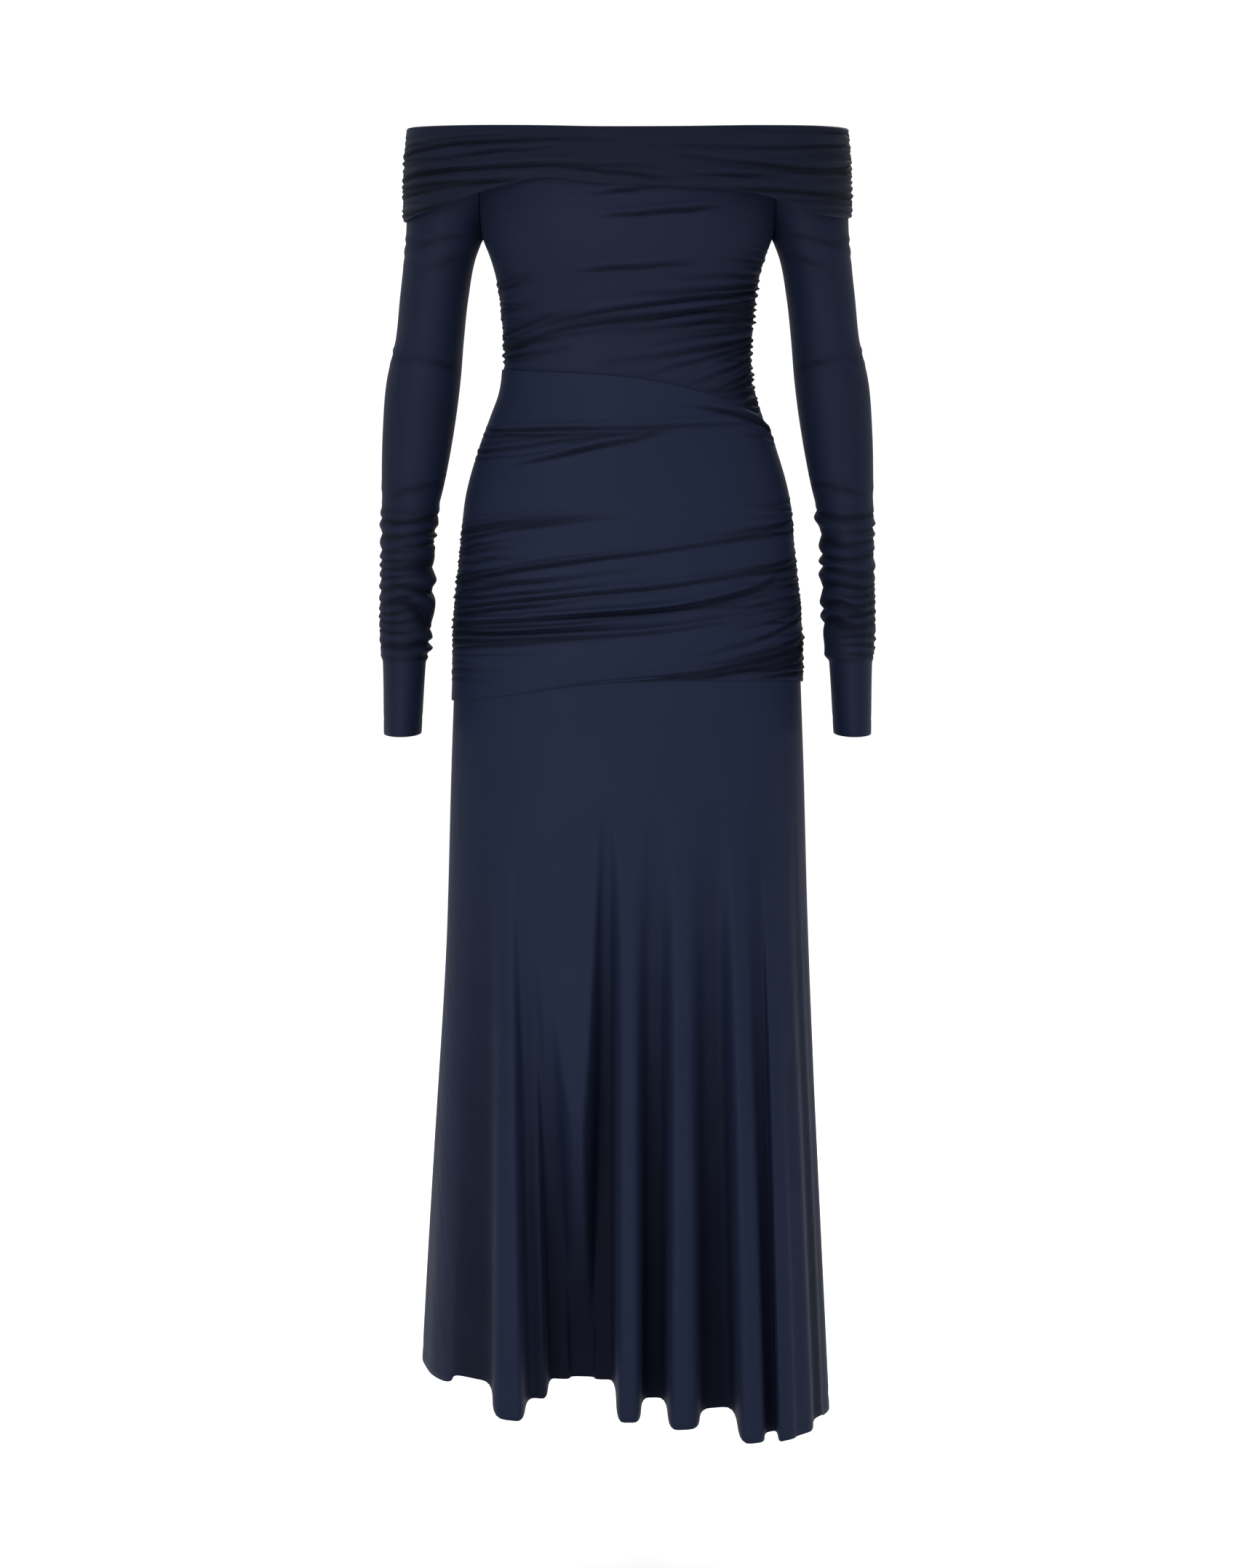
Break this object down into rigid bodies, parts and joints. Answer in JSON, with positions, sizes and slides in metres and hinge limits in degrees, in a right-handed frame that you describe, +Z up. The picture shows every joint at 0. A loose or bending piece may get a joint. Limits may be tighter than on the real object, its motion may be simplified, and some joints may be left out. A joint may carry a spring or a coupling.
{
  "type": "off-shoulder long-sleeved ruched dress",
  "caption": "Fitted off-shoulder dress with a fold-over band, long bunched sleeves, ruched bodice and hip wrap, and a long flared skirt, in its worn hollow form.",
  "frame": {"origin": "centre of the neckline opening, level with the band's upper edge over the arms, where the wearer holds the dress up", "axes": "+Z up along the dress, -Y out of the front, +X to the viewer's right as the front is looked at"},
  "size_m": [0.476, 0.326, 1.2341],
  "materials": {
    "jersey_band": "matt navy jersey",
    "jersey_bodice": "matt navy jersey",
    "jersey_wrap": "matt navy jersey",
    "jersey_skirt": "matt navy jersey",
    "jersey_sleeve": "matt navy jersey"
  },
  "bodies": {
    "root": {"band_front": "jersey_band", "band_back": "jersey_band", "bodice_front": "jersey_bodice", "bodice_back": "jersey_bodice", "hip_wrap_front": "jersey_wrap", "hip_wrap_back": "jersey_wrap", "skirt_front": "jersey_skirt", "skirt_back": "jersey_skirt", "sleeve_left": "jersey_sleeve", "sleeve_right": "jersey_sleeve"}
  },
  "joints": []
}
